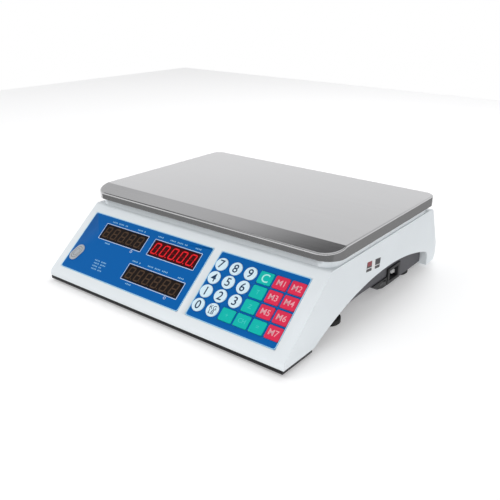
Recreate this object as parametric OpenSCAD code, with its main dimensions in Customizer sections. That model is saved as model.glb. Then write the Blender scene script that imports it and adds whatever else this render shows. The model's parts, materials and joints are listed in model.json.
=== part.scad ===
// Price-computing counter scale with a low sloped operator panel,
// a lift-off steel plate on a single-point load cell, and screw feet.
// Origin: middle of the footprint, at the surface that the feet rest on.
// +X to the operator's right, +Y away from the operator, +Z up.

/* [Casing] */
// Width of the white top casing
case_w = 323.5; // [322:0.5:325]
// Corner rounding radius of the top casing
case_r = 7; // [6.6:0.1:7.2]
// Wall thickness of the top casing
wall = 2.6; // [2.2:0.1:3]
// Radius of the hand arch in each side
arch_r = 330; // [328:1:332]
// Height of the raised collar's top under the plate
collar_z = 80.2; // [79:0.2:80.4]

/* [Plate] */
// Width of the steel plate
pan_w = 330; // [328:0.5:332]
// Depth of the steel plate
pan_d = 230; // [229:0.5:231]
// Height of the plate's flat top
pan_z = 94.2; // [93.8:0.1:95]
// Gauge of the steel sheet
sheet = 0.8; // [0.6:0.1:1]

/* [Panel] */
// Thickness of the printed overlays
overlay_t = 0.7; // [0.6:0.1:0.8]
// Space from one key column to the next
key_dx = 18; // [17.9:0.05:18.1]
// Space from one key row to the next
key_dy = 15.7; // [15.6:0.05:15.8]
// Diameter of the round keys
key_d = 14.2; // [13.6:0.1:14.3]
// Height of a key above its overlay
key_h = 0.9; // [0.6:0.1:1.2]

/* [Feet] */
// Diameter of the rubber foot pads
foot_d = 26; // [22:0.5:27]
// Diameter of the foot studs
stud_d = 8; // [7:0.1:8.2]
// Distance from the middle to each foot along X
foot_x = 139; // [138:0.5:140]

/* [Load cell] */
// Length of the aluminium load cell
cell_l = 130; // [126:1:134]
// Height of the load cell
cell_h = 22; // [20:0.5:23]

/* [Hidden] */
$fn = 48;

// side profile of the casing: centres of its corner rounds, as [y, z]
profile = [[-157.5, 8.7], [-87.5, 67.4], [137.6, 67.4], [157.5, 22.3], [157.5, 10]];
deck_z = 67.4 + case_r;
// angle of the operator panel from level, and a point at its lower edge
slope = 40;
panel_y = -157.5;
panel_z = 17.8;
// display windows: [left, bottom, width, height] on the panel
windows = [[-124.5, 47, 66.5, 19], [-46.6, 46.6, 66, 19], [-59.8, 12, 79.6, 18]];
digit_counts = [5, 5, 6];
digit_pitch = 12.7;
rear_windows = [[-122, 12, 66.5, 19], [-33.2, 12, 66.5, 19], [48, 12, 79.6, 19]];
key_x0 = 48.3;
key_y0 = 62;
key_gap = 0.3;
cell_x = 0;
cell_y = 22.75;
cell_z = 36;
arm_z = 80;
switch_x = 152.4;
switch_y = 35.5;
pan_y0 = -92.3;
pan_y1 = pan_y0 + pan_d;
feet = [[-1, -52], [1, -52], [-1, 106.5], [1, 106.5]];
stops = [[-115, -38], [115, -38], [-115, 88], [115, 88]];
white = [0.93, 0.94, 0.95];
grey = [0.45, 0.46, 0.48];
dark = [0.12, 0.12, 0.13];
blue = [0, 0.37, 0.68];
steel = [0.75, 0.76, 0.78];

module box_at(x0, y0, z0, x1, y1, z1) {
  translate([x0, y0, z0]) cube([x1 - x0, y1 - y0, z1 - z0]);
}

// places children on the operator panel: X across, Y up the slope, Z out
module on_panel(u = 0, v = 0, h = 0) {
  translate([0, panel_y, panel_z]) rotate([slope, 0, 0]) translate([u, v, h]) children();
}

// places children on the rear face: X across as seen from behind, Y up, Z out
module on_rear(u = 0, v = 0, h = 0) {
  translate([0, 161.3, 29]) rotate([0, 0, 180]) rotate([66.3, 0, 0]) translate([u, v - 15, h]) children();
}

module round_box(w, d, h, r) {
  for (x = [r, w - r]) for (y = [r, d - r]) translate([x, y, 0]) cylinder(r = r, h = h);
  translate([r, 0, 0]) cube([w - 2 * r, d, h]);
  translate([0, r, 0]) cube([w, d - 2 * r, h]);
}

// outward bearing of the edge that leaves corner i of the casing's profile
function bearing(i) = let (a = profile[(i + 5) % 5], b = profile[(i + 6) % 5]) atan2(b[1] - a[1], b[0] - a[0]) + 90;
function turn(i) = let (t = bearing(i) - bearing(i - 1)) t > 0 ? t - 360 : t;

// casing outline with round corners of radius r about the profile's centres
module case_outline(r) {
  polygon([for (i = [0:4]) for (k = [0:8]) let (t = bearing(i - 1) + turn(i) * k / 8)
    profile[i] + r * [cos(t), sin(t)]]);
}

// outline of the space under the casing, as seen from its right side
module arch_outline() {
  polygon(concat([[-200, -60], [-125, -60]],
    [for (k = [0:50]) let (y = -125 + 258.1 * k / 50) [y, -291.1 + sqrt(arch_r * arch_r - (y - 30) * (y - 30))]],
    [for (k = [1:6]) let (t = 71.8 - 71.8 * k / 6) [130 + 10 * cos(t), 12.87 + 10 * sin(t)]],
    [[140, -60]]));
}

// outline of the collar seen from above, brought in by an inset
function collar(inset) = [for (c = [[144, -71.5, -90], [144, 118, 0], [-144, 118, 90], [-144, -71.5, 180]])
  for (k = [0:8]) let (t = c[2] + k * 90 / 8) [c[0], c[1]] + (16 - inset) * [cos(t), sin(t)]];

module along_x(w) {
  rotate([90, 0, 90]) translate([0, 0, -w / 2]) linear_extrude(height = w) children();
}

module upper_case() {
  color(white) difference() {
    union() {
      difference() {
        along_x(case_w) case_outline(case_r);
        along_x(case_w - 2 * wall) case_outline(case_r - wall);
        box_at(-200, -200, -20, 200, 133, 5.8);
        // hand arches through both sides
        along_x(400) arch_outline();
        // open underside of the rear
        box_at(-150, 136, -20, 150, 161, 8);
      }
      // front walls of the rear legs
      for (s = [-1, 1]) box_at(s * 155.5 - 4.5, 140, 4, s * 155.5 + 4.5, 142.4, 26);
      // raised collar under the plate
      difference() {
        translate([0, 0, deck_z - 4.6]) linear_extrude(height = collar_z - deck_z + 4.6) polygon(collar(0));
        translate([0, 0, deck_z - 8]) linear_extrude(height = collar_z - deck_z + 9) polygon(collar(3));
      }
    }
    // deck openings for the load cell post and the overload stops
    box_at(28, cell_y - 22, 60, 76, cell_y + 22, 80);
    for (s = stops) translate([s[0], s[1], 60]) cylinder(d = 10, h = 20);
    // openings in the operator panel
    on_panel(-152, 0, -0.6) cube([182, 76.5, 4]);
    on_panel(39.5, 0.5, -0.6) cube([108, 75.8, 4]);
    for (w = windows) on_panel(w[0] - 1, w[1] - 1, -6) cube([w[2] + 2, w[3] + 2, 12]);
    for (c = [0:2]) for (r = [0:3]) on_panel(key_x0 + c * key_dx, key_y0 - r * key_dy, -6)
      if (!(c == 2 && r == 3)) cylinder(d = key_d + 2 * key_gap, h = 12);
    for (c = [2:5]) for (r = [0:3]) if (c > 2 || r == 3)
      on_panel(key_x0 + c * key_dx - 8.2, key_y0 - r * key_dy - 6.95, -6) cube([16.4, 13.9, 12]);
    // recess and openings at the rear
    on_rear(-135, 5, -0.6) cube([270, 33, 4]);
    for (w = rear_windows) on_rear(w[0] - 1, w[1] - 1, -8) cube([w[2] + 2, w[3] + 2, 16]);
  }
}

// underside of the lower casing's side shelves, as seen from the right
module shelf_outline(lift) {
  polygon([[-118, 6 + lift], [-84, 13.5 + lift], [-50, 18.5 + lift], [-14, 20 + lift],
    [8, 19.5 + lift], [26, 10 + lift], [40, 6.5 + lift], [138, 6.5 + lift], [138, 60], [-118, 60]]);
}

// the space that the side walls stay inside, just behind the hand arches
module wall_outline() {
  intersection() {
    translate([30, -291.1]) circle(r = arch_r + 9, $fn = 200);
    translate([-118, 0]) square([256, 60]);
  }
}

module lower_case() {
  color(grey) difference() {
    union() {
      box_at(-126, -157, 6.2, 126, 138, 9);
      // black rim along the front edge
      box_at(-161, -164.2, 2.4, 161, -116.5, 5.6);
      box_at(-150, -157, 2.4, 150, -117, 8.8);
      along_x(307) intersection() {
        shelf_outline(0);
        wall_outline();
      }
      for (s = [-1, 1]) box_at(s * 124.5 - 1.5, -118, 6.2, s * 124.5 + 1.5, 42, 23);
      for (f = feet) translate([f[0] * foot_x, f[1], 7.6]) cylinder(d = 15, h = 12);
    }
    for (s = [-1, 1]) translate([s * 138.4, 0, 0]) difference() {
      along_x(24.8) intersection() {
        shelf_outline(2.6);
        translate([-115, 0]) square([250.4, 80]);
      }
      for (y = [-52, 106.5]) translate([s * 0.6, y, 0]) cylinder(d = 15, h = y < 0 ? 27 : 21);
    }
    box_at(-123, -114, 9, 123, 135.4, 80);
    // openings for the rocker switch and the power inlet
    box_at(138.8, 27.8, 10.8, 158, 43.2, 17.6);
    box_at(148, 49, 10.4, 158, 75, 25.6);
    for (f = feet) translate([f[0] * foot_x, f[1], 0]) cylinder(d = stud_d + 0.6, h = 40);
    for (s = [-1, 1]) for (y = [-130, 60]) translate([s * 110, y, 0]) cylinder(d = 4.4, h = 12);
    for (s = [-1, 1]) translate([s * 110, -130, 0]) cylinder(d = 7.6, h = 6.2);
  }
}

module base_frame() {
  color("silver") difference() {
    union() {
      box_at(-122, -48, 9, 122, 98, 12);
      box_at(-64, cell_y - 15, 12, -28, cell_y + 15, cell_z);
      for (y = [-48, 94]) box_at(-122, y, 12, 122, y + 4, 17);
    }
    for (s = stops) translate([s[0], s[1], 8]) cylinder(d = 6, h = 10);
    for (x = [-56, -36]) translate([x, cell_y, 8]) cylinder(d = 6.2, h = 30);
    for (s = [-1, 1]) translate([s * 110, 60, 8]) cylinder(d = 4.4, h = 6);
    for (x = [30, 98]) translate([x, 72, 8]) cylinder(d = 5, h = 6);
  }
}

module overload_stops() {
  color("gray") for (s = stops) translate([s[0], s[1], 9]) {
    cylinder(d = 6, h = arm_z - 0.9 - 9);
    translate([0, 0, 3]) cylinder(d = 11, h = 5, $fn = 6);
  }
}

module load_cell() {
  color([0.8, 0.8, 0.82]) difference() {
    box_at(cell_x - cell_l / 2, cell_y - 15, cell_z, cell_x + cell_l / 2, cell_y + 15, cell_z + cell_h);
    for (x = [-9, 9]) translate([x, cell_y - 20, cell_z + cell_h / 2]) rotate([-90, 0, 0]) cylinder(d = 15, h = 40);
    box_at(-9, cell_y - 20, cell_z + cell_h / 2 - 3, 9, cell_y + 20, cell_z + cell_h / 2 + 3);
    for (x = [-56, -36, 40, 60]) translate([x, cell_y, cell_z - 1]) cylinder(d = 6.2, h = cell_h + 2);
  }
}

// the lower pair holds the cell's fixed end, from under the base block
module cell_bolts() {
  color("gray") for (x = [-56, -36]) translate([x, cell_y, 12]) cylinder(d = 6, h = cell_z + cell_h - 14);
}

module platform_frame() {
  color([0.7, 0.7, 0.72]) difference() {
    union() {
      box_at(32, cell_y - 15, cell_z + cell_h, 68, cell_y + 15, arm_z + 2);
      box_at(-146, cell_y - 68, arm_z, 146, cell_y + 68, arm_z + 2.5);
      for (s = [-1, 1]) box_at(-146, cell_y + s * 66 - 2, arm_z, 146, cell_y + s * 66 + 2, arm_z + 7);
      for (y = [-30, 30]) box_at(-140, cell_y + y - 2, arm_z, 140, cell_y + y + 2, arm_z + 7);
      for (x = [-135, 135]) for (y = [-56, 56]) translate([x, cell_y + y, arm_z]) cylinder(d = 20, h = 8);
    }
    for (x = [40, 60]) translate([x, cell_y, cell_z + cell_h - 1]) cylinder(d = 6.2, h = 40);
    for (x = [40, 60]) translate([x, cell_y, arm_z - 6]) cylinder(d = 11, h = 20);
  }
}

module platform_bolts() {
  color("gray") for (x = [40, 60]) translate([x, cell_y, 0]) {
    translate([0, 0, arm_z - 6]) cylinder(d = 10, h = 5);
    translate([0, 0, cell_z + 2]) cylinder(d = 6, h = arm_z - cell_z - 7);
  }
}

module platform_pads() {
  color(dark) for (x = [-135, 135]) for (y = [-56, 56])
    translate([x, cell_y + y, arm_z + 8]) cylinder(d = 17, h = pan_z - sheet - arm_z - 8);
}

// outline of the plate seen from above
module plate_outline(inset) {
  w = pan_w / 2 - inset;
  rf = 20 - inset;
  rr = 12 - inset;
  y0 = pan_y0 + inset;
  y1 = pan_y1 - inset;
  for (s = [-1, 1]) {
    translate([s * (w - rf), y0 + rf]) circle(r = rf);
    translate([s * (w - rr), y1 - rr]) circle(r = rr);
  }
  translate([-w, y0 + rf]) square([2 * w, y1 - rr - y0 - rf]);
  translate([-w + rf, y0]) square([2 * w - 2 * rf, y1 - y0]);
  translate([-w + rr, y1 - rr - 1]) square([2 * w - 2 * rr, rr + 1]);
}

// side view of the plate: flat top with a shallow fall to the front lip
module plate_side(drop) {
  polygon([[-120, 82.3 - 2 * drop], [-120, 89.6 - drop - 5.6], [pan_y0, 89.6 - drop], [-69.7, pan_z - drop],
    [160, pan_z - drop], [160, 82.3 - 2 * drop]]);
}

module pan() {
  color(steel) difference() {
    intersection() {
      translate([0, 0, 70]) linear_extrude(height = 40) plate_outline(0);
      along_x(360) plate_side(0);
    }
    intersection() {
      translate([0, 0, 70]) linear_extrude(height = 40) plate_outline(sheet);
      along_x(360) plate_side(sheet);
    }
  }
}

module display_overlay() {
  color(blue) difference() {
    on_panel(-151.8, 0.2, -0.6) round_box(181.6, 76.1, overlay_t, 3);
    for (w = windows) on_panel(w[0], w[1], -2) cube([w[2], w[3], 4]);
  }
}

module display_lenses() {
  color([0.25, 0.05, 0.05]) for (w = windows) on_panel(w[0] + 0.1, w[1] + 0.1, -1.8) cube([w[2] - 0.2, w[3] - 0.2, 1.6]);
}

module keypad_overlay() {
  color(blue) difference() {
    on_panel(39.7, 0.7, -0.6) round_box(107.6, 75.4, overlay_t, 3);
    for (c = [0:2]) for (r = [0:3]) on_panel(key_x0 + c * key_dx, key_y0 - r * key_dy, -6)
      if (!(c == 2 && r == 3)) cylinder(d = key_d + 2 * key_gap, h = 12);
    for (c = [2:5]) for (r = [0:3]) if (c > 2 || r == 3)
      on_panel(key_x0 + c * key_dx - 8.2, key_y0 - r * key_dy - 6.95, -6) cube([16.4, 13.9, 12]);
  }
}

module panel_badge() {
  color("silver") on_panel(-141, 21.8, overlay_t - 0.6) rotate([0, 0, -22]) {
    for (s = [-1, 1]) translate([0, s * 4.2, 0]) cylinder(d = 13, h = 0.8);
    translate([-6.5, -4.2, 0]) cube([13, 8.4, 0.8]);
  }
}

module seven_segments(n, pitch, w, h, t) {
  a = w * 0.16;
  for (i = [0:n - 1]) translate([i * pitch, 0, 0]) {
    for (y = [0, (h - a) / 2, h - a]) translate([a, y, 0]) cube([w - 2 * a, a, t]);
    for (x = [0, w - a]) for (y = [a * 0.5, h / 2]) translate([x, y, 0]) cube([a, h / 2 - a * 0.5, t]);
    translate([w + a * 0.6, 0, 0]) cylinder(d = a * 1.1, h = t);
  }
}

module front_led_digits() {
  color([0.35, 0.08, 0.06]) for (k = [0:2]) on_panel(windows[k][0], windows[k][1], 0) {
    translate([0.9, 1, -9.5]) cube([windows[k][2] - 1.8, windows[k][3] - 2, 6.5]);
    translate([2.2, 2.6, -3.05]) seven_segments(digit_counts[k], digit_pitch, 7.6, windows[k][3] - 5.2, 0.45);
  }
}

module front_boards() {
  color([0.1, 0.4, 0.2]) {
    on_panel(-135, 6, -11.1) cube([162, 62, 1.6]);
    on_panel(42, 4, -13.1) cube([103, 66, 1.6]);
  }
}

module key_switches() {
  color(dark) for (c = [0:5]) for (r = [0:3])
    on_panel(key_x0 + c * key_dx, key_y0 - r * key_dy, -11.5) {
      translate([-3, -3, 0]) cube([6, 6, 3.5]);
      cylinder(d = 3.4, h = 4.3);
    }
}

module rear_overlay() {
  color(blue) difference() {
    on_rear(-134.8, 5.2, -0.6) round_box(269.6, 32.6, overlay_t, 3);
    for (w = rear_windows) on_rear(w[0], w[1], -2) cube([w[2], w[3], 4]);
  }
}

module rear_lenses() {
  color([0.25, 0.05, 0.05]) for (w = rear_windows) on_rear(w[0] + 0.1, w[1] + 0.1, -1.8) cube([w[2] - 0.2, w[3] - 0.2, 1.6]);
}

module rear_led_digits() {
  color([0.35, 0.08, 0.06]) for (k = [0:2]) on_rear(rear_windows[k][0], rear_windows[k][1], 0) {
    translate([0.9, 1, -9.5]) cube([rear_windows[k][2] - 1.8, rear_windows[k][3] - 2, 6.5]);
    translate([2.2, 2.6, -3.05]) seven_segments(digit_counts[k], digit_pitch, 7.6, rear_windows[k][3] - 5.2, 0.45);
  }
  color([0.1, 0.4, 0.2]) on_rear(-128, 7, -11.1) cube([262, 28, 1.6]);
}

module main_board() {
  color([0.1, 0.4, 0.2]) box_at(22, 57, 12.6, 106, 88, 14.2);
  color("silver") for (x = [30, 98]) translate([x, 72, 9]) cylinder(d = 4.8, h = 3.6);
  color(dark) {
    box_at(40, 66, 14.2, 58, 80, 16.4);
    box_at(68, 64, 14.2, 76, 78, 22);
    translate([90, 68, 14.2]) cylinder(d = 10, h = 18);
    translate([90, 80, 14.2]) cylinder(d = 8, h = 12);
  }
}

module transformer() {
  color([0.5, 0.5, 0.5]) {
    box_at(70, 100, 9, 122, 134, 13);
    box_at(76, 102, 13, 116, 132, 48);
  }
  color([0.75, 0.6, 0.3]) box_at(82, 99, 16, 110, 135, 44);
}

module battery() {
  color(dark) {
    box_at(-122, 100, 9, -22, 134, 56);
    for (x = [-112, -32]) box_at(x - 3, 106, 56, x + 3, 107, 61);
  }
}

module power_inlet() {
  color(dark) difference() {
    union() {
      box_at(153.6, 46.5, 8.4, 155.6, 77.5, 27.4);
      box_at(136, 49.4, 10.8, 153.6, 74.6, 25.2);
    }
    box_at(140, 51.4, 12.2, 160, 72.6, 23.8);
    for (y = [55, 69]) box_at(135, y - 1, 15.2, 141, y + 1, 19.2);
    box_at(135, 61, 16.8, 141, 63, 20.8);
  }
}

module inlet_pins() {
  color("silver") {
    for (y = [55, 69]) box_at(130, y - 1, 15.2, 152.6, y + 1, 19.2);
    box_at(130, 61, 16.8, 153.4, 63, 20.8);
  }
}

// plate whose lower front corner follows the casing's underside
module switch_housing() {
  color(dark) difference() {
    union() {
      translate([153.6, 0, 0]) rotate([90, 0, 90]) linear_extrude(height = 1.6)
        polygon([[11, 18.9], [45.2, 18.6], [45.2, 8.2], [35, 8.9], [27.5, 10.6]]);
      box_at(139, 28, 11, 153.6, 43, 17.4);
    }
    box_at(143, 28.9, 11.8, 160, 42.1, 16.6);
    translate([switch_x, switch_y, 4]) cylinder(d = 2, h = 20);
  }
}

// rocker with its ends thrown over a pivot that stands upright
module switch_rocker() {
  color([0.05, 0.05, 0.05]) translate([switch_x, switch_y, 0]) {
    translate([0, 0, 12]) linear_extrude(height = 4.4)
      polygon([[-2.2, -3], [0.6, -6.1], [2.8, -5.9], [2.7, 0], [4.9, 5.2], [2.6, 5.8], [-2.2, 3]]);
    translate([0, 0, 11.2]) cylinder(d = 1.8, h = 6);
  }
}

module case_screws() {
  color("silver") for (s = [-1, 1]) for (y = [-130, 60]) translate([s * 110, y, 4.6]) {
    cylinder(d = 7, h = 1.6);
    translate([0, 0, 1.6]) cylinder(d = 4, h = 9);
  }
}

module round_key(c, r) {
  color([0.9, 0.94, 0.98]) on_panel(key_x0 + c * key_dx, key_y0 - r * key_dy, 0) {
    translate([0, 0, -3]) cylinder(d = key_d, h = 3 + key_h);
    translate([0, 0, -3.9]) cylinder(d = 15.3, h = 1);
    translate([0, 0, -6.6]) cylinder(d = 3.4, h = 3);
  }
}

module square_key(c, r, tint) {
  color(tint) on_panel(key_x0 + c * key_dx, key_y0 - r * key_dy, 0) {
    translate([-7.9, -6.65, -3]) round_box(15.8, 13.3, 3 + key_h, 1.5);
    translate([-8.6, -7.3, -3.9]) cube([17.2, 14.6, 1]);
    translate([0, 0, -6.6]) cylinder(d = 3.4, h = 3);
  }
}

teal = [0, 0.66, 0.6];
red = [0.88, 0.15, 0.27];

module key_7() { round_key(0, 0); }
module key_8() { round_key(1, 0); }
module key_9() { round_key(2, 0); }
module key_clear() { square_key(3, 0, teal); }
module key_m1() { square_key(4, 0, red); }
module key_m2() { square_key(5, 0, red); }
module key_4() { round_key(0, 1); }
module key_5() { round_key(1, 1); }
module key_6() { round_key(2, 1); }
module key_tare() { square_key(3, 1, teal); }
module key_m3() { square_key(4, 1, red); }
module key_m4() { square_key(5, 1, red); }
module key_1() { round_key(0, 2); }
module key_2() { round_key(1, 2); }
module key_3() { round_key(2, 2); }
module key_zero() { square_key(3, 2, teal); }
module key_m5() { square_key(4, 2, red); }
module key_m6() { square_key(5, 2, red); }
module key_0() { round_key(0, 3); }
module key_unit() { round_key(1, 3); }
module key_add() { square_key(2, 3, teal); }
module key_change() { square_key(3, 3, teal); }
module key_total() { square_key(4, 3, teal); }
module key_m7() { square_key(5, 3, red); }

module foot_stud(i) {
  color("silver") translate([feet[i][0] * foot_x, feet[i][1], 1.5]) cylinder(d = stud_d, h = i < 2 ? 24 : 19);
}

module foot_pad(i) {
  color(dark) translate([feet[i][0] * foot_x, feet[i][1], 0]) difference() {
    union() {
      cylinder(d1 = foot_d - 2, d2 = foot_d, h = 1);
      translate([0, 0, 1]) cylinder(d = foot_d, h = 4.9);
    }
    translate([0, 0, 1.4]) cylinder(d = stud_d + 0.1, h = 10);
  }
}

module foot_stud_fl() { foot_stud(0); }
module foot_stud_fr() { foot_stud(1); }
module foot_stud_rl() { foot_stud(2); }
module foot_stud_rr() { foot_stud(3); }
module foot_pad_fl() { foot_pad(0); }
module foot_pad_fr() { foot_pad(1); }
module foot_pad_rl() { foot_pad(2); }
module foot_pad_rr() { foot_pad(3); }

upper_case();
lower_case();
base_frame();
rear_overlay();
display_overlay();
keypad_overlay();
panel_badge();
display_lenses();
front_led_digits();
front_boards();
key_switches();
rear_lenses();
rear_led_digits();
main_board();
transformer();
battery();
load_cell();
cell_bolts();
platform_frame();
platform_bolts();
platform_pads();
pan();
overload_stops();
power_inlet();
inlet_pins();
switch_housing();
switch_rocker();
case_screws();
key_7();
key_8();
key_9();
key_clear();
key_m1();
key_m2();
key_4();
key_5();
key_6();
key_tare();
key_m3();
key_m4();
key_1();
key_2();
key_3();
key_zero();
key_m5();
key_m6();
key_0();
key_unit();
key_add();
key_change();
key_total();
key_m7();
foot_stud_fl();
foot_stud_fr();
foot_stud_rl();
foot_stud_rr();
foot_pad_fl();
foot_pad_fr();
foot_pad_rl();
foot_pad_rr();
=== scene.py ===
import json
import math

import bmesh
import bpy
from mathutils import Matrix, Vector


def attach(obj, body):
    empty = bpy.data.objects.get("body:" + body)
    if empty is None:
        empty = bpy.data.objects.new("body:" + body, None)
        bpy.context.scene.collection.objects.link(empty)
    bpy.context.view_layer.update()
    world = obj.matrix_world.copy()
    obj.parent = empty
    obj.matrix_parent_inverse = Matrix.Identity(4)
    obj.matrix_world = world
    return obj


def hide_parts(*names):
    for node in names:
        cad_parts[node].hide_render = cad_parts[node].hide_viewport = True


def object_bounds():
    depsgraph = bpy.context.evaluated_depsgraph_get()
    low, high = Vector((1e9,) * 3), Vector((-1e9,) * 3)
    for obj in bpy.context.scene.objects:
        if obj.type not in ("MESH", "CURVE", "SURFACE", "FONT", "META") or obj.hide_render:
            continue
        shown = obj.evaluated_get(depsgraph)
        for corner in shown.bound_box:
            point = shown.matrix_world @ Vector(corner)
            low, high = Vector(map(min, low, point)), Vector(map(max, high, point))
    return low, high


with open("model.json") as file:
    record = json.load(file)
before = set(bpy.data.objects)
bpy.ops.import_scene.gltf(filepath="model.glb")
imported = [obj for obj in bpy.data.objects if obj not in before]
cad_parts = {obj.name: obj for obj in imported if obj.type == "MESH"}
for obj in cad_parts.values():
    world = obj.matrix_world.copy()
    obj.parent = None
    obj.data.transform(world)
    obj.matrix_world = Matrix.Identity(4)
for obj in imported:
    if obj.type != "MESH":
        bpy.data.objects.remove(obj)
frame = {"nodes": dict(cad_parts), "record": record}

CAD_BOX = [[float(v) for v in corner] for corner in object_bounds()]

bl_info = {
    "name": "Counter scale",
    "version": (1, 0, 0),
    "blender": (4, 5, 0),
    "location": "View3D > Sidebar > Scale",
    "description": "Models the visible pieces of a price-computing counter scale around its packed frame",
    "category": "Add Mesh",
}

MM = 0.001
SLOPE = math.radians(40)
PANEL = Matrix.Translation((0, -0.1575, 0.0178)) @ Matrix.Rotation(SLOPE, 4, "X")
REAR = (Matrix.Translation((0, 0.1613, 0.029)) @ Matrix.Rotation(math.pi, 4, "Z")
        @ Matrix.Rotation(math.radians(66.3), 4, "X") @ Matrix.Translation((0, -0.015, 0)))
WINDOWS = {"A": (-124.5, 47, 66.5, 19, 5), "B": (-46.6, 46.6, 66, 19, 5), "C": (-59.8, 12, 79.6, 18, 6)}
REAR_WINDOWS = {"A": (-122, 12, 66.5, 19, 5), "B": (-33.2, 12, 66.5, 19, 5), "C": (48, 12, 79.6, 19, 6)}
KEY_COLUMNS = [48.3 + 18 * c for c in range(6)]
KEY_ROWS = [62 - 15.7 * r for r in range(4)]
KEYS = [["7", "8", "9", "clear", "m1", "m2"], ["4", "5", "6", "tare", "m3", "m4"],
        ["1", "2", "3", "zero", "m5", "m6"], ["0", "unit", "add", "change", "total", "m7"]]
LEGENDS = {"clear": "C", "tare": "T", "zero": "Z", "add": "+", "change": "CH", "total": "=", "unit": "KG\nLB"}
# lean of the seven-segment digits, and the thickness of their bars in mm
DIGIT_LEAN = math.radians(9)
DIGIT_BAR = 1.5
# height of a direction in the surroundings (0 level, 1 straight up) and its brightness
SKY_BANDS = [(0.0, 1.0), (0.25, 0.9), (0.37, 0.74), (0.45, 0.85), (0.49, 0.5), (0.53, 0.62), (0.6, 0.6),
             (0.622, 0.5), (0.642, 0.22), (0.657, 0.06), (0.672, 0.03), (0.72, 0.05), (0.8, 0.6), (1.0, 0.8)]
# grey cards on the floor that only reflections see, painted shade of the floor in the plate's reflections: name,
# place, size and brightness
FLAGS = (("front_flag", (0.2, -0.47, 0.0008), (2.2, 0.6, 1), 0.2),
         ("side_flag", (0.75, 0.35, 0.0006), (1.1, 1.6, 1), 0.27))
# name, place, aim, size and power
LAMPS = (("key_light", (-0.9, -0.7, 1.5), (0, 0, 0.05), 1.3, 6.5),
         ("fill_light", (1.4, -0.9, 0.9), (0, 0, 0.03), 1.2, 4),
         ("back_light", (-0.1, 1.0, 1.5), (0, 0, 0.05), 0.7, 9),
         ("low_light", (0.15, -1.1, 0.16), (0, -0.09, 0.075), 0.5, 1.2))
CAMERA_PLACE = (0.42219, -0.55557, 0.31138)
CAMERA_TURN = [math.radians(angle) for angle in (67.73, -0.53, 37.49)]
CAMERA_LENS = 45.885
CAMERA_SENSOR = 36
FEET = {"fl": (-139, -52), "fr": (139, -52), "rl": (-139, 106.5), "rr": (139, 106.5)}


# ---------------------------------------------------------------- settings

class CounterScaleSettings(bpy.types.PropertyGroup):
    casing_colour: bpy.props.FloatVectorProperty(
        name="Casing", description="Colour of the top casing", subtype="COLOR", size=3, min=0, max=1,
        default=(0.77, 0.815, 0.84))
    lower_colour: bpy.props.FloatVectorProperty(
        name="Lower casing", description="Colour of the lower casing", subtype="COLOR", size=3, min=0, max=1,
        default=(0.085, 0.085, 0.095))
    panel_colour: bpy.props.FloatVectorProperty(
        name="Panel", description="Colour of the printed panels", subtype="COLOR", size=3, min=0, max=1,
        default=(0.0, 0.11, 0.39))
    key_white: bpy.props.FloatVectorProperty(
        name="Number keys", description="Colour of the round keys", subtype="COLOR", size=3, min=0, max=1,
        default=(0.66, 0.82, 0.90))
    key_teal: bpy.props.FloatVectorProperty(
        name="Function keys", description="Colour of the function keys", subtype="COLOR", size=3,
        min=0, max=1,
        default=(0.005, 0.47, 0.41))
    key_red: bpy.props.FloatVectorProperty(
        name="Memory keys", description="Colour of the price memory keys", subtype="COLOR", size=3,
        min=0, max=1,
        default=(0.70, 0.03, 0.085))
    lit_colour: bpy.props.FloatVectorProperty(
        name="Lit digits", description="Colour of lit digits", subtype="COLOR", size=3, min=0, max=1,
        default=(1.0, 0.02, 0.03))
    casing_round: bpy.props.FloatProperty(
        name="Casing edge", description="Width of the rounding along the casing's side edges",
        unit="LENGTH", default=0.0052, min=0.001, max=0.006)
    plate_round: bpy.props.FloatProperty(
        name="Plate edge", description="Width of the rounding along the plate's rim",
        unit="LENGTH", default=0.0018, min=0.0005, max=0.002)
    digit_height: bpy.props.FloatProperty(
        name="Digit height", description="Height of the display digits", unit="LENGTH",
        default=0.0132, min=0.010, max=0.014)
    digit_pitch: bpy.props.FloatProperty(
        name="Digit pitch", description="Space from one digit to the next", unit="LENGTH",
        default=0.0127, min=0.012, max=0.0135)
    floor_size: bpy.props.FloatProperty(
        name="Floor", description="Width of the floor", unit="LENGTH", default=3.0, min=2, max=20)


def settings():
    return bpy.context.scene.counter_scale


# ---------------------------------------------------------------- finishes

class Wire:
    """A socket that takes part in arithmetic: each operation adds a Math node."""

    def __init__(self, finish, socket):
        self.finish = finish
        self.socket = socket

    def _math(self, operation, first, second):
        return self.finish.node("ShaderNodeMath", {"operation": operation}, {0: first, 1: second})

    def __add__(self, other):
        return self._math("ADD", self, other)

    def __radd__(self, other):
        return self._math("ADD", other, self)

    def __sub__(self, other):
        return self._math("SUBTRACT", self, other)

    def __rsub__(self, other):
        return self._math("SUBTRACT", other, self)

    def __mul__(self, other):
        return self._math("MULTIPLY", self, other)

    def __rmul__(self, other):
        return self._math("MULTIPLY", other, self)

    def __gt__(self, other):
        return self._math("GREATER_THAN", self, other)

    def __lt__(self, other):
        return self._math("LESS_THAN", self, other)


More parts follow.
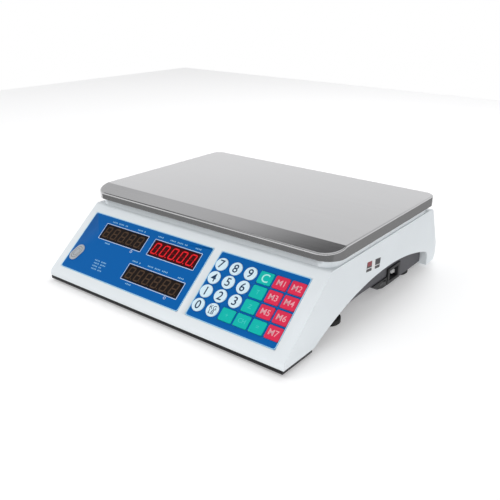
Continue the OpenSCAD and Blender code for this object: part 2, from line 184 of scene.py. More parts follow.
class Finish:
    """A material built from a Principled shader and the nodes that feed it."""

    def __init__(self, name, **constants):
        self.material = bpy.data.materials.new(name)
        self.material.use_nodes = True
        self.tree = self.material.node_tree
        self.shader = self.tree.nodes["Principled BSDF"]
        for socket, value in constants.items():
            self.shader.inputs[socket.replace("_", " ")].default_value = value

    def node(self, kind, before=None, sockets=None, output=0):
        made = self.tree.nodes.new(kind)
        for key, value in (before or {}).items():
            if key == "stops":
                ramp = made.color_ramp.elements
                while len(ramp) < len(value):
                    ramp.new(0.5)
                for element, (place, colour) in zip(ramp, value):
                    element.position = place
                    element.color = colour
            else:
                setattr(made, key, value)
        for key, value in (sockets or {}).items():
            if isinstance(value, Wire):
                self.tree.links.new(value.socket, made.inputs[key])
            else:
                made.inputs[key].default_value = value
        return Wire(self, made.outputs[output])

    def place(self, scale=(1, 1, 1), turn=(0, 0, 0), move=(0, 0, 0)):
        coordinate = self.node("ShaderNodeTexCoord", output="Object")
        return self.node("ShaderNodeMapping", None,
                         {"Vector": coordinate, "Scale": scale, "Rotation": turn, "Location": move})

    def noise(self, scale, detail=3, vector=None, roughness=0.5):
        return self.node("ShaderNodeTexNoise", None,
                         {"Vector": vector or self.place(), "Scale": scale, "Detail": detail,
                          "Roughness": roughness})

    def between(self, mask, low, high):
        return self.node("ShaderNodeMix", {"data_type": "RGBA"},
                         {0: mask, 6: (*low, 1), 7: (*high, 1)}, output=2)

    def feed(self, **wires):
        for socket, wire in wires.items():
            self.tree.links.new(wire.socket, self.shader.inputs[socket.replace("_", " ")])
        return self

    def bump(self, height, strength=0.2, distance=0.0002):
        normal = self.node("ShaderNodeBump", None,
                           {"Height": height, "Strength": strength, "Distance": distance})
        return self.feed(Normal=normal)


FINISHES = {}


def shade(colour, factor):
    return tuple(min(1.0, c * factor) for c in colour)


def moulded(name, colour, roughness, grain=1100, depth=0.12, wear=0.04, coat=0.0):
    """Moulded plastic: faint blotches, fine spark-eroded grain."""
    finish = Finish(name, Roughness=roughness, Coat_Weight=coat, Coat_Roughness=0.2)
    blotch = finish.noise(14, 4)
    grain_height = finish.noise(grain, 2)
    finish.feed(Base_Color=finish.between(blotch, shade(colour, 1 - wear), shade(colour, 1 + wear)),
                Roughness=roughness - 0.05 + 0.1 * grain_height)
    finish.bump(grain_height, depth, 0.00015)
    FINISHES[name] = finish.material
    return finish.material


def printed(name, colour, roughness=0.45, coat=0.0, gloss=0.1):
    """Printed film: very even ink under a satin face with a faint dither."""
    finish = Finish(name, Roughness=roughness, Coat_Weight=coat, Coat_Roughness=0.15,
                    Specular_IOR_Level=gloss)
    dither = finish.noise(2600, 1)
    cloud = finish.noise(9, 2)
    ink = finish.between(cloud * 0.6 + dither * 0.4, shade(colour, 0.93), shade(colour, 1.06))
    finish.feed(Base_Color=ink, Roughness=roughness - 0.04 + 0.08 * cloud)
    finish.bump(dither, 0.05, 0.00005)
    FINISHES[name] = finish.material
    return finish.material


def brushed(name, colour, roughness=0.3, along=(6, 1500, 1500), metal=1.0, depth=0.05):
    """Metal with fine lines along X."""
    finish = Finish(name, Metallic=metal, Roughness=roughness)
    lines = finish.noise(1.0, 4, finish.place(scale=along), 0.65)
    smear = finish.noise(5, 3)
    finish.feed(Base_Color=finish.between(lines, shade(colour, 0.9), shade(colour, 1.06)),
                Roughness=roughness - 0.1 + 0.12 * lines + 0.08 * smear)
    finish.bump(lines, depth, 0.00006)
    FINISHES[name] = finish.material
    return finish.material


def lit(name, colour, strength):
    finish = Finish(name, Roughness=0.5, Specular_IOR_Level=0.1)
    glow = finish.noise(700, 2)
    finish.shader.inputs["Base Color"].default_value = (*shade(colour, 0.4), 1)
    finish.shader.inputs["Emission Strength"].default_value = strength
    finish.feed(Emission_Color=finish.between(glow, shade(colour, 0.8), colour))
    FINISHES[name] = finish.material
    return finish.material


def sticker_finish(name):
    """A dark ground with a pale middle, a coloured corner and a thin pale line."""
    finish = Finish(name, Roughness=0.4)
    parts = finish.tree.nodes.new("ShaderNodeSeparateXYZ")
    finish.tree.links.new(finish.place(move=(0, 0.0053, -0.0526)).socket, parts.inputs[0])
    along, up = Wire(finish, parts.outputs[1]), Wire(finish, parts.outputs[2])
    level = up + along * 0.13
    middle = (along > -0.0038) * (along < 0.0034)
    corner = (along < -0.0045) * (level > 0.0004) * (along > -0.0135)
    line = (level < -0.0014) * (level > -0.0022)
    ground = finish.between(corner, (0.06, 0.055, 0.06), (0.30, 0.05, 0.06))
    pale = finish.node("ShaderNodeMath", {"operation": "MAXIMUM"}, {0: middle, 1: line})
    colour = finish.node("ShaderNodeMix", {"data_type": "RGBA"},
                         {0: pale, 6: ground, 7: (0.8, 0.8, 0.8, 1)}, output=2)
    finish.feed(Base_Color=colour)
    finish.bump(finish.noise(1500, 1), 0.04, 0.00004)
    FINISHES[name] = finish.material
    return finish.material


def make_finishes():
    s = settings()
    moulded("casing", s.casing_colour[:], 0.42)
    moulded("lower_casing", s.lower_colour[:], 0.6, grain=800, depth=0.25, wear=0.1)
    moulded("black_plastic", (0.006, 0.006, 0.007), 0.5, depth=0.2, wear=0.1)
    moulded("rocker", (0.008, 0.008, 0.009), 0.22, depth=0.04, wear=0.1, coat=0.4)
    moulded("rubber", (0.018, 0.018, 0.018), 0.85, grain=500, depth=0.4, wear=0.2)
    moulded("battery_case", (0.03, 0.03, 0.035), 0.5, wear=0.12)
    moulded("board", (0.01, 0.11, 0.03), 0.4, grain=350, depth=0.2, wear=0.25, coat=0.3)
    moulded("iron_core", (0.12, 0.12, 0.125), 0.5, wear=0.2)
    moulded("digits", (0.05, 0.04, 0.035), 0.5)
    printed("overlay", s.panel_colour[:])
    printed("halo", (0.36, 0.66, 0.84))
    printed("print_white", (0.72, 0.82, 0.90))
    printed("print_pale", (0.26, 0.52, 0.72))
    printed("print_dark", (0.01, 0.04, 0.10))
    printed("print_pink", (0.80, 0.38, 0.42))
    printed("print_mint", (0.42, 0.82, 0.78))
    printed("print_teal", (0.06, 0.58, 0.53))
    printed("key_white", s.key_white[:])
    printed("key_teal", s.key_teal[:])
    printed("key_red", s.key_red[:])
    printed("lens", (0.012, 0.008, 0.007), 0.4, gloss=0.1)
    printed("ghost", (0.075, 0.045, 0.028), 0.5, gloss=0.1)
    printed("digit_bed", (0.05, 0.002, 0.003), 0.5, gloss=0.1)
    lit("lit", s.lit_colour[:], 0.45)
    lit("lit_glow", (0.16, 0.004, 0.006), 0.5)
    brushed("plate_steel", (0.66, 0.66, 0.665), 0.13, depth=0.012)
    brushed("cell_metal", (0.72, 0.73, 0.75), 0.35, along=(400, 400, 30))
    brushed("cast_base", (0.55, 0.56, 0.58), 0.5, along=(500, 500, 500), depth=0.3)
    brushed("bolt", (0.62, 0.62, 0.62), 0.28, along=(300, 300, 300))
    brushed("blade", (0.85, 0.85, 0.85), 0.5, along=(300, 300, 300), metal=0.3)
    brushed("badge", (0.50, 0.53, 0.56), 0.4, along=(120, 120, 120), metal=0.35)
    sticker_finish("sticker")


# ---------------------------------------------------------------- modelling helpers

def deselect():
    if bpy.context.object and bpy.context.object.mode != "OBJECT":
        bpy.ops.object.mode_set(mode="OBJECT")
    bpy.ops.object.select_all(action="DESELECT")


def focus(*objects):
    deselect()
    for obj in objects:
        obj.select_set(True)
    bpy.context.view_layer.objects.active = objects[0]


def place_mesh(obj, matrix):
    """Moves a piece's mesh so that its object can stay at the origin."""
    obj.data.transform(matrix @ obj.matrix_world)
    obj.matrix_world = Matrix.Identity(4)
    if matrix.determinant() < 0:
        obj.data.flip_normals()


def join(name, objects):
    focus(*objects)
    if len(objects) > 1:
        bpy.ops.object.join()
    made = bpy.context.object
    made.name = name
    made.data.name = name
    return made


def soften(obj, angle=30):
    focus(obj)
    bpy.ops.object.shade_smooth_by_angle(angle=math.radians(angle))


def finished(obj, body, finish, nodes=()):
    """Hands a finished piece to the frame."""
    if not obj.data.materials:
        obj.data.materials.append(None)
    obj.data.materials[0] = FINISHES[finish]
    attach(obj, body)
    if nodes:
        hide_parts(*nodes)
    return obj


def worked_copy(node, name):
    """A copy of a frame node with its loose triangles joined and its flat faces whole."""
    source = frame["nodes"][node]
    piece = bpy.data.objects.new(name, source.data.copy())
    bpy.context.scene.collection.objects.link(piece)
    piece.data.materials.clear()
    focus(piece)
    bpy.ops.object.mode_set(mode="EDIT")
    bpy.ops.mesh.select_all(action="SELECT")
    bpy.ops.mesh.remove_doubles(threshold=2e-6)
    bpy.ops.mesh.dissolve_limited(angle_limit=math.radians(0.2))
    bpy.ops.mesh.select_all(action="DESELECT")
    bpy.ops.object.mode_set(mode="OBJECT")
    return piece


def bevel_where(piece, test, width, segments):
    """Rounds the edges that the test picks."""
    focus(piece)
    bpy.ops.object.mode_set(mode="EDIT")
    bpy.ops.mesh.select_mode(type="EDGE")
    bpy.ops.mesh.select_all(action="DESELECT")
    mesh = bmesh.from_edit_mesh(piece.data)
    mesh.normal_update()
    count = 0
    for edge in mesh.edges:
        if len(edge.link_faces) == 2 and test(edge):
            edge.select_set(True)
            count += 1
    bmesh.update_edit_mesh(piece.data)
    if not count:
        bpy.ops.object.mode_set(mode="OBJECT")
        raise RuntimeError(f"no edge of {piece.name} was found to round")
    bpy.ops.mesh.bevel(offset=width, segments=segments, affect="EDGES", clamp_overlap=True)
    bpy.ops.object.mode_set(mode="OBJECT")
    return piece


def mark_crease(piece, test):
    """Keeps a shallow fold crisp under smooth shading."""
    focus(piece)
    bpy.ops.object.mode_set(mode="EDIT")
    bpy.ops.mesh.select_mode(type="EDGE")
    bpy.ops.mesh.select_all(action="DESELECT")
    mesh = bmesh.from_edit_mesh(piece.data)
    for edge in mesh.edges:
        if len(edge.link_faces) == 2 and test(edge):
            edge.select_set(True)
    bmesh.update_edit_mesh(piece.data)
    bpy.ops.mesh.mark_sharp()
    bpy.ops.object.mode_set(mode="OBJECT")


def flatten(piece):
    """Keeps broad faces flat in the shading beside their narrow rounds."""
    focus(piece)
    bpy.ops.object.modifier_add(type="WEIGHTED_NORMAL")
    weighted = piece.modifiers[-1]
    weighted.keep_sharp = True
    weighted.weight = 90
    bpy.ops.object.modifier_apply(modifier=weighted.name)


def outward_sharp(limit=35):
    def test(edge):
        return edge.is_manifold and edge.is_convex and edge.calc_face_angle(0) > math.radians(limit)
    return test


def slab(x0, y0, x1, y1, low, high, matrix, corner=0.0, lip=0.0):
    """A thin plate with round corners and a softened face, in millimetres on the given plane."""
    deselect()
    bpy.ops.mesh.primitive_cube_add(
        size=1, location=((x0 + x1) / 2 * MM, (y0 + y1) / 2 * MM, (low + high) / 2 * MM))
    piece = bpy.context.object
    piece.scale = ((x1 - x0) * MM, (y1 - y0) * MM, (high - low) * MM)
    bpy.ops.object.transform_apply(location=True, rotation=True, scale=True)
    if corner:
        bevel_where(piece, lambda e: abs(e.verts[0].co.z - e.verts[1].co.z) > 1e-7, corner * MM, 5)
    if lip:
        top = high * MM
        bevel_where(piece, lambda e: all(abs(v.co.z - top) < 1e-7 for v in e.verts), lip * MM, 2)
    place_mesh(piece, matrix)
    return piece


def outline(x0, y0, x1, y1, line, low, high, matrix, corner=0.0):
    """A thin printed frame: a plate whose middle is inset and removed."""
    deselect()
    bpy.ops.mesh.primitive_plane_add(size=1, location=((x0 + x1) / 2 * MM, (y0 + y1) / 2 * MM, high * MM))
    piece = bpy.context.object
    piece.scale = ((x1 - x0) * MM, (y1 - y0) * MM, 1)
    bpy.ops.object.transform_apply(location=True, rotation=True, scale=True)
    bpy.ops.object.mode_set(mode="EDIT")
    bpy.ops.mesh.select_all(action="SELECT")
    if corner:
        bpy.ops.mesh.bevel(offset=corner * MM, segments=4, affect="VERTICES")
        bpy.ops.mesh.select_all(action="SELECT")
    bpy.ops.mesh.inset(thickness=line * MM, depth=0)
    bpy.ops.mesh.delete(type="FACE")
    bpy.ops.mesh.select_all(action="SELECT")
    bpy.ops.mesh.extrude_region_move(TRANSFORM_OT_translate={"value": (0, 0, (low - high) * MM)})
    bpy.ops.mesh.select_all(action="SELECT")
    bpy.ops.mesh.normals_make_consistent(inside=False)
    bpy.ops.object.mode_set(mode="OBJECT")
    place_mesh(piece, matrix)
    return piece


def lettering(text, height, u, v, level, matrix, weight=0.06, gap=0.75):
    """Raised ink in the shape of a digit or a mark, centred at (u, v) on a plane."""
    deselect()
    bpy.ops.object.text_add(location=(0, 0, 0))
    words = bpy.context.object
    words.data.body = text
    words.data.size = height * MM
    words.data.align_x = "CENTER"
    words.data.align_y = "CENTER"
    words.data.space_line = gap
    words.data.extrude = 0.00002
    words.data.offset = weight * MM
    words.data.resolution_u = 4
    bpy.ops.object.convert(target="MESH")
    piece = bpy.context.object
    xs = [c[0] for c in piece.bound_box]
    ys = [c[1] for c in piece.bound_box]
    centre = Matrix.Translation(
        (u * MM - (min(xs) + max(xs)) / 2, v * MM - (min(ys) + max(ys)) / 2, level * MM))
    place_mesh(piece, matrix @ centre)
    return piece


def ring(radius, line, u, v, low, high, matrix, oval=1.0, turn=0.0):
    """A thin printed ring or oval."""
    deselect()
    bpy.ops.mesh.primitive_circle_add(vertices=40, radius=radius * MM, fill_type="NGON", location=(0, 0, 0))
    piece = bpy.context.object
    bpy.ops.object.mode_set(mode="EDIT")
    bpy.ops.mesh.select_all(action="SELECT")
    bpy.ops.mesh.inset(thickness=line * MM, depth=0)
    bpy.ops.mesh.delete(type="FACE")
    bpy.ops.mesh.select_all(action="SELECT")
    bpy.ops.mesh.extrude_region_move(TRANSFORM_OT_translate={"value": (0, 0, (high - low) * MM)})
    bpy.ops.mesh.select_all(action="SELECT")
    bpy.ops.mesh.normals_make_consistent(inside=False)
    bpy.ops.object.mode_set(mode="OBJECT")
    spot = (Matrix.Translation((u * MM, v * MM, low * MM)) @ Matrix.Rotation(turn, 4, "Z")
            @ Matrix.Diagonal((1, oval, 1, 1)))
    place_mesh(piece, matrix @ spot)
    return piece


def bar_segment(length, width):
    """One display segment: a bar with pointed ends."""
    deselect()
    bpy.ops.mesh.primitive_cube_add(size=1, location=(0, 0, 0))
    piece = bpy.context.object
    piece.scale = (length * MM, width * MM, 0.08 * MM)
    bpy.ops.object.transform_apply(location=True, rotation=True, scale=True)
    bevel_where(piece, lambda e: abs(e.verts[0].co.z - e.verts[1].co.z) > 1e-7, width * 0.46 * MM, 1)
    return piece


def digit_row(name, window, matrix, level, lit_segments, dots):
    """A row of leaning seven-segment digits; only the listed segments are drawn."""
    left, bottom, width, height, count = window
    s = settings()
    tall, pitch = s.digit_height / MM, s.digit_pitch / MM
    w = tall * 0.52
    bar = DIGIT_BAR
    segment = bar_segment(w - 0.35, bar)
    half = tall / 2
    spots = {"a": (0, half, 0), "g": (0, 0, 0), "d": (0, -half, 0),
             "b": (w / 2, half / 2, 90), "c": (w / 2, -half / 2, 90),
             "e": (-w / 2, -half / 2, 90), "f": (-w / 2, half / 2, 90)}
    lean = Matrix(((1, math.tan(DIGIT_LEAN), 0, 0), (0, 1, 0, 0), (0, 0, 1, 0), (0, 0, 0, 1)))
    shrink = (half - bar * 0.15) / half
    parts = []
    first = left + width / 2 - pitch * (count - 1) / 2
    for i in range(count):
        centre = Matrix.Translation(((first + i * pitch - 0.6) * MM, (bottom + height / 2) * MM, level * MM))
        for letter in lit_segments:
            x, y, turn = spots[letter]
            piece = segment.copy()
            piece.data = segment.data.copy()
            bpy.context.scene.collection.objects.link(piece)
            grow = (half - 0.4) / (w - 0.35) if turn else 1
            spot = (Matrix.Translation((x * MM, y * shrink * MM, 0))
                    @ Matrix.Rotation(math.radians(turn), 4, "Z")
                    @ Matrix.Diagonal((grow, 1, 1, 1)))
            piece.data.transform(matrix @ centre @ lean @ spot)
            parts.append(piece)
        if dots:
            deselect()
            bpy.ops.mesh.primitive_cylinder_add(vertices=16, radius=0.75 * MM, depth=0.08 * MM)
            dot = bpy.context.object
            bevel_where(dot, lambda e: e.calc_face_angle(0) > 1 and all(v.co.z > 0 for v in e.verts),
                        0.02 * MM, 1)
            corner = Matrix.Translation(((w / 2 + 1.55) * MM, -half * shrink * MM, 0))
            dot.data.transform(matrix @ centre @ corner)
            parts.append(dot)
    bpy.data.objects.remove(segment)
    return join(name, parts)


# ---------------------------------------------------------------- pieces

class SCALE_OT_casing(bpy.types.Operator):
    """Rounds the white casing's side edges"""
    bl_idname = "scale.casing"
    bl_label = "Top casing"

    def execute(self, context):
        s = settings()
        casing = worked_copy("upper_case", "casing_shell")
        side = max(abs(v.co.x) for v in casing.data.vertices)

        def side_edge(edge):
            if not all(abs(abs(v.co.x) - side) < 2e-5 for v in edge.verts):
                return False
            a, b = (f.normal for f in edge.link_faces)
            if abs(a.x) < abs(b.x):
                a, b = b, a
            middle = (edge.verts[0].co + edge.verts[1].co) / 2
            leg_front = 0.128 < middle.y < 0.1405 and middle.z < 0.035
            return abs(a.x) > 0.9 and abs(b.x) < 0.3 and b.z > -0.02 and not leg_front and middle.z > 0.0059
        bevel_where(casing, side_edge, s.casing_round, 6)
        soften(casing, 32)
        finished(casing, "base", "casing", ["upper_case"])
        return {"FINISHED"}


class SCALE_OT_lower_casing(bpy.types.Operator):
    """Softens the lower casing and lays a near-black strip over its front rim; the rim is real, its black is
    painted shade under the casing's front edge
    """
    bl_idname = "scale.lower_casing"
    bl_label = "Lower casing"

    def execute(self, context):
        lower = worked_copy("lower_case", "lower_shell")
        soften(lower, 30)
        finished(lower, "base", "lower_casing", ["lower_case"])
        # the rim belongs to the lower casing; drawing it near-black, darker than the lower casing, paints the
        # shade under the white casing's front edge
        rim = slab(-161.3, -164.35, 161.3, -116.2, 2.8, 5.75, Matrix.Identity(4), 0.9, 0.15)
        rim.name = "front_rim"
        soften(rim, 35)
        finished(rim, "base", "black_plastic")
        return {"FINISHED"}


class SCALE_OT_plate(bpy.types.Operator):
    """Rounds the fold along the steel plate's rim with a small round and keeps its shallow crease crisp"""
    bl_idname = "scale.plate"
    bl_label = "Steel plate"

    def execute(self, context):
        plate = worked_copy("pan", "steel_plate")

        def rim(edge):
            if not edge.is_convex or edge.calc_face_angle(0) < math.radians(40):
                return False
            a, b = (f.normal for f in edge.link_faces)
            return max(a.z, b.z) > 0.8 and abs(min(a.z, b.z)) < 0.3
        bevel_where(plate, rim, settings().plate_round, 5)
        soften(plate, 24)

        def crease(edge):
            return math.radians(4) < edge.calc_face_angle(0) < math.radians(14) and all(
                abs(abs(f.normal.z) - 1) < 0.03 for f in edge.link_faces)
        mark_crease(plate, crease)
        flatten(plate)
        finished(plate, "pan", "plate_steel", ["pan"])
        return {"FINISHED"}


class SCALE_OT_panel(bpy.types.Operator):
    """Models the printed panels, their pale borders, window frames and generic marks"""
    bl_idname = "scale.panel"
    bl_label = "Operator panel"

    def execute(self, context):
        for node, name in (("display_overlay", "display_film"), ("keypad_overlay", "keypad_film")):
            film = worked_copy(node, name)
            soften(film, 30)
            finished(film, "base", "overlay", [node])
        top = 0.1
        halo = [outline(-151.8, 0.2, 29.8, 76.3, 0.9, top, top + 0.04, PANEL, 3),
                outline(39.7, 0.7, 147.3, 76.1, 0.9, top, top + 0.04, PANEL, 3)]
        finished(join("panel_borders", halo), "base", "halo")
        frames = [outline(left - 0.9, bottom - 0.9, left + width + 0.9, bottom + height + 0.9, 0.5,
                          top, top + 0.05, PANEL, 0.8) for left, bottom, width, height, _ in WINDOWS.values()]
        frames += [ring(1.5, 0.4, u, v, top, top + 0.05, PANEL) for u, v in ((-68.8, 43.4), (6.6, 8.8))]
        finished(join("window_frames", frames), "base", "print_white")
        marks = []
        for u0, u1, v in ((-119, -92, 70.2), (-78, -65, 70.2), (-46, -35, 70), (-28, -2, 70), (8, 18.6, 70),
                          (-59, -46, 34.3), (-36, -6, 34.6), (8, 19, 33.8), (-111, -100, 43.2), (-50, -41, 8.2),
                          (-109, -90, 20.8), (-108, -89, 17.4), (-108, -92, 14), (-107, -90, 10.6)):
            step = 2.1
            count = max(1, int((u1 - u0) / step))
            for i in range(count):
                if i % 5 == 4:
                    continue
                x = u0 + i * step
                high = 1.7 if i % 2 else 1.35
                marks.append(slab(x, v - high / 2, x + 1.2, v + high / 2, top, top + 0.05, PANEL, 0.35))
        finished(join("panel_print", marks), "base", "print_pale")
        badge = worked_copy("panel_badge", "oval_badge")
        bevel_where(badge, outward_sharp(60), 0.0003, 3)
        soften(badge, 40)
        finished(badge, "base", "badge", ["panel_badge"])
        turn = math.radians(-22)
        rims = [ring(5.0, 0.35, -141, 21.8, 0.88, 0.98, PANEL, 1.6, turn),
                ring(3.0, 0.3, -141, 21.8, 0.88, 0.96, PANEL, 1.7, turn)]
        finished(join("badge_rings", rims), "base", "iron_core")
        return {"FINISHED"}


class SCALE_OT_displays(bpy.types.Operator):
    """Models the display windows and their leaning seven-segment digits"""
    bl_idname = "scale.displays"
    bl_label = "Displays"

    def execute(self, context):
        for node, name in (("display_lenses", "front_windows"), ("rear_lenses", "rear_windows")):
            panes = worked_copy(node, name)
            soften(panes, 30)
            finished(panes, "base", "lens", [node])
        for matrix, windows, side in ((PANEL, WINDOWS, "front"), (REAR, REAR_WINDOWS, "rear")):
            for key, window in windows.items():
                if key == "B":
                    left, bottom, width, height, _ = window
                    bed = slab(left + 0.4, bottom + 0.4, left + width - 0.4, bottom + height - 0.4,
                               -0.3, -0.17, matrix, 0.5)
                    bed.name = f"{side}_bed"
                    finished(bed, "base", "digit_bed")
                    glow = digit_row(f"{side}_unlit_{key}", window, matrix, -0.15, "g", False)
                    finished(glow, "base", "lit_glow")
                    digits = digit_row(f"{side}_digits_{key}", window, matrix, -0.12, "abcdef", True)
                    finished(digits, "base", "lit")
                else:
                    digits = digit_row(f"{side}_digits_{key}", window, matrix, -0.14, "abcdefg", True)
                    finished(digits, "base", "ghost")
        return {"FINISHED"}


class SCALE_OT_keys(bpy.types.Operator):
    """Models the keys with soft tops and their legends"""
    bl_idname = "scale.keys"
    bl_label = "Keys"

    def execute(self, context):
        for r, row in enumerate(KEYS):
            for c, key in enumerate(row):
                node = f"key_{key}"
                if key.isdigit() or key == "unit":
                    finish, ink = "key_white", "print_dark"
                elif key.startswith("m"):
                    finish, ink = "key_red", "print_pink"
                else:
                    finish, ink = "key_teal", "print_mint" if key == "clear" else "print_teal"
                cap = worked_copy(node, f"cap_{key}")
                normal = Vector((0, -math.sin(SLOPE), math.cos(SLOPE)))
                base = PANEL @ Vector((0, 0, 0))
                top = max((v.co - base).dot(normal) for v in cap.data.vertices)

                def crown(edge):
                    level = all(abs((v.co - base).dot(normal) - top) < 1e-5 for v in edge.verts)
                    return level and edge.calc_face_angle(0) > 0.8
                bevel_where(cap, crown, 0.0005, 4)
                soften(cap, 35)
                finished(cap, node, finish, [node])
                text = LEGENDS.get(key, key.upper())
                size, weight = {1: (12.8, 0.1), 2: (8.6, 0.04)}.get(len(text), (6.2, 0.02))
                if key in ("tare", "zero", "change", "add", "total"):
                    size, weight = 6.4, 0.03
                mark = lettering(text, size, KEY_COLUMNS[c], KEY_ROWS[r], 0.92, PANEL, weight)
                mark.name = f"legend_{key}"
                finished(mark, node, ink)
        return {"FINISHED"}


class SCALE_OT_sockets(bpy.types.Operator):
    """Models the mains inlet with its pins and the power switch"""
    bl_idname = "scale.sockets"
    bl_label = "Inlet and switch"

    def execute(self, context):
        for node, name, body, finish, width in (
                ("power_inlet", "inlet_body", "base", "black_plastic", 0.0006),
                ("inlet_pins", "inlet_blades", "base", "blade", 0.0002),
                ("switch_housing", "switch_bezel", "base", "black_plastic", 0.0004),
                ("switch_rocker", "rocker_cap", "rocker", "rocker", 0.0003)):
            piece = worked_copy(node, name)
            bevel_where(piece, outward_sharp(40), width, 3)
            soften(piece, 35)
            finished(piece, body, finish, [node])
        return {"FINISHED"}


class SCALE_OT_feet(bpy.types.Operator):
    """Models the rubber feet with finger notches round their rims"""
    bl_idname = "scale.feet"
    bl_label = "Feet"

    def execute(self, context):
        for key, (x, y) in FEET.items():
            pad = worked_copy(f"foot_pad_{key}", f"foot_{key}")
            bevel_where(pad, outward_sharp(50), 0.0004, 2)
            ribs = [pad]
            for i in range(24):
                turn = Matrix.Translation((x * MM, y * MM, 0)) @ Matrix.Rotation(math.radians(15 * i), 4, "Z")
                ribs.append(slab(12.4, -0.7, 12.98, 0.7, 1.6, 5.2, turn, 0.25))
            foot = join(f"foot_{key}", ribs)
            soften(foot, 35)
            finished(foot, f"pad_{key}", "rubber", [f"foot_pad_{key}"])
            stud = worked_copy(f"foot_stud_{key}", f"stud_{key}_shank")
            bevel_where(stud, outward_sharp(50), 0.0005, 2)
            soften(stud, 35)
            finished(stud, f"stud_{key}", "bolt", [f"foot_stud_{key}"])
        return {"FINISHED"}


class SCALE_OT_rear(bpy.types.Operator):
    """Models the customer's printed panel on the rear face"""
    bl_idname = "scale.rear"
    bl_label = "Rear panel"

    def execute(self, context):
        film = worked_copy("rear_overlay", "rear_film")
        soften(film, 30)
        finished(film, "base", "overlay", ["rear_overlay"])
        top = 0.1
        halo = outline(-134.8, 5.2, 134.8, 37.8, 0.9, top, top + 0.04, REAR, 3)
        halo.name = "rear_border"
        finished(halo, "base", "halo")
        marks = [outline(left - 0.9, bottom - 0.9, left + width + 0.9, bottom + height + 0.9, 0.55,
                         top, top + 0.05, REAR, 0.8) for left, bottom, width, height, _ in REAR_WINDOWS.values()]
        for left, bottom, width, height, _ in REAR_WINDOWS.values():
            for i in range(9):
                if i % 4 == 3:
                    continue
                x = left + width / 2 - 9 + i * 2.1
                marks.append(slab(x, 33.6, x + 1.2, 35.2, top, top + 0.05, REAR, 0.35))
        finished(join("rear_print", marks), "base", "print_white")
        return {"FINISHED"}


class SCALE_OT_sticker(bpy.types.Operator):
    """Adds a plain coloured sticker on the right side"""
    bl_idname = "scale.sticker"
    bl_label = "Side sticker"

    def execute(self, context):
        side = CAD_BOX[1][0] - 0.00325
        across = Matrix(((0, 0, 1, side), (1, 0, 0, -0.0053), (0, 1, 0, 0.0526), (0, 0, 0, 1)))
        tilt = across @ Matrix.Rotation(math.radians(-7.5), 4, "Z")
        label = slab(-15, -5.3, 15, 5.3, 0, 0.08, tilt, 0.8)
        label.name = "side_sticker"
        finished(label, "base", "sticker")
        return {"FINISHED"}


class SCALE_OT_workings(bpy.types.Operator):
    """Gives the inner pieces of the frame their finishes"""
    bl_idname = "scale.workings"
    bl_label = "Inner workings"

    def execute(self, context):
        slots = {part["node"]: part["material_slot"] for part in frame["record"]["subparts"]}
        for node, obj in frame["nodes"].items():
            finish = FINISHES.get(slots[node])
            if finish is None:
                raise RuntimeError(f"no finish for {node}")
            if obj.material_slots:
                for place in obj.material_slots:
                    place.material = finish
            else:
                obj.data.materials.append(finish)
        return {"FINISHED"}


def studio_world():
    """A soft box of light: bright near the horizon, a dark band above it, softer light overhead."""
    world = bpy.data.worlds.new("studio")
    world.use_nodes = True
    tree = world.node_tree
    sky = tree.nodes["Background"]
    direction = tree.nodes.new("ShaderNodeTexCoord")
    height = tree.nodes.new("ShaderNodeSeparateXYZ")
    bands = tree.nodes.new("ShaderNodeValToRGB")
    ramp = bands.color_ramp.elements
    while len(ramp) < len(SKY_BANDS):
        ramp.new(0.5)
    for element, (place, level) in zip(ramp, SKY_BANDS):
        element.position = place
        element.color = (level, level, level * 1.01, 1)
    backdrop = tree.nodes.new("ShaderNodeBackground")
    backdrop.inputs[0].default_value = (1, 1, 1, 1)
    seen = tree.nodes.new("ShaderNodeLightPath")
    mix = tree.nodes.new("ShaderNodeMixShader")
    for out, into in ((direction.outputs["Generated"], height.inputs[0]), (height.outputs[2], bands.inputs[0]),
                      (bands.outputs[0], sky.inputs[0]), (seen.outputs["Is Camera Ray"], mix.inputs[0]),
                      (sky.outputs[0], mix.inputs[1]), (backdrop.outputs[0], mix.inputs[2]),
                      (mix.outputs[0], tree.nodes["World Output"].inputs[0])):
        tree.links.new(out, into)
    sky.inputs[1].default_value = 1.0
    return world


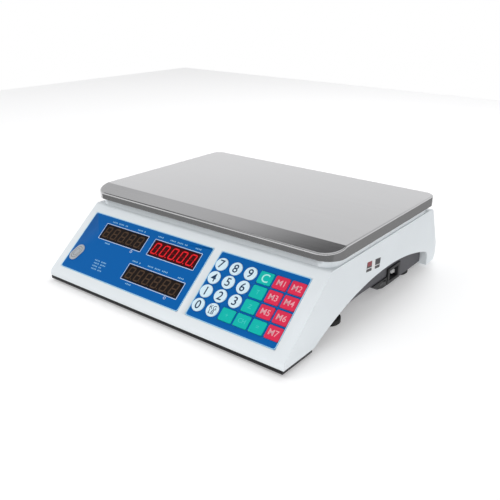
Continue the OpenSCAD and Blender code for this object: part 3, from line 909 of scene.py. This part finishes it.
class SCALE_OT_stage(bpy.types.Operator):
    """Sets the pale floor, soft studio light and the camera"""
    bl_idname = "scale.stage"
    bl_label = "Stage"

    def execute(self, context):
        scene = context.scene
        deselect()
        bpy.ops.mesh.primitive_plane_add(size=settings().floor_size, location=(0, 0, -0.0002))
        floor = context.object
        floor.name = "floor"
        paper = Finish("paper", Roughness=0.9, Emission_Strength=0.24)
        paper.shader.inputs["Base Color"].default_value = (0.84, 0.84, 0.84, 1)
        paper.shader.inputs["Emission Color"].default_value = (1, 1, 1, 1)
        floor.data.materials.append(paper.material)
        scene.world = studio_world()
        # grey cards seen only by reflections: painted floor shade in the steel plate's reflections
        for name, spot, reach, level in FLAGS:
            deselect()
            bpy.ops.mesh.primitive_plane_add(size=1, location=spot)
            flag = context.object
            flag.name = name
            flag.scale = reach
            grey = Finish(name, Roughness=1.0, Emission_Strength=level)
            grey.shader.inputs["Base Color"].default_value = (0, 0, 0, 1)
            grey.shader.inputs["Emission Color"].default_value = (1, 1, 1, 1)
            flag.data.materials.append(grey.material)
            flag.visible_camera = flag.visible_diffuse = flag.visible_shadow = False
        for name, spot, aim, size, power in LAMPS:
            bpy.ops.object.light_add(type="AREA", location=spot)
            lamp = context.object
            lamp.name = name
            lamp.data.size = size
            lamp.data.energy = power
            lamp.visible_glossy = False
            lamp.rotation_euler = (Vector(aim) - Vector(spot)).to_track_quat("-Z", "Y").to_euler()
        bpy.ops.object.camera_add(location=CAMERA_PLACE)
        camera = context.object
        camera.rotation_euler = CAMERA_TURN
        camera.data.lens = CAMERA_LENS
        camera.data.sensor_width = CAMERA_SENSOR
        scene.camera = camera
        scene.view_settings.view_transform = "Standard"
        return {"FINISHED"}


class SCALE_PT_pieces(bpy.types.Panel):
    bl_idname = "SCALE_PT_pieces"
    bl_label = "Counter scale"
    bl_space_type = "VIEW_3D"
    bl_region_type = "UI"
    bl_category = "Scale"

    def draw(self, context):
        for step in STEPS:
            self.layout.operator(step.bl_idname)
        for name in CounterScaleSettings.__annotations__:
            self.layout.prop(context.scene.counter_scale, name)


STEPS = (SCALE_OT_workings, SCALE_OT_casing, SCALE_OT_lower_casing, SCALE_OT_plate, SCALE_OT_panel,
         SCALE_OT_displays, SCALE_OT_keys, SCALE_OT_sockets, SCALE_OT_feet, SCALE_OT_rear, SCALE_OT_sticker,
         SCALE_OT_stage)


def register():
    bpy.utils.register_class(CounterScaleSettings)
    bpy.types.Scene.counter_scale = bpy.props.PointerProperty(type=CounterScaleSettings)
    for step in STEPS:
        bpy.utils.register_class(step)
    bpy.utils.register_class(SCALE_PT_pieces)


def unregister():
    bpy.utils.unregister_class(SCALE_PT_pieces)
    for step in reversed(STEPS):
        bpy.utils.unregister_class(step)
    del bpy.types.Scene.counter_scale
    bpy.utils.unregister_class(CounterScaleSettings)


def main():
    register()
    make_finishes()
    for step in STEPS:
        group, name = step.bl_idname.split(".")
        getattr(getattr(bpy.ops, group), name)()


if __name__ == "__main__":
    main()
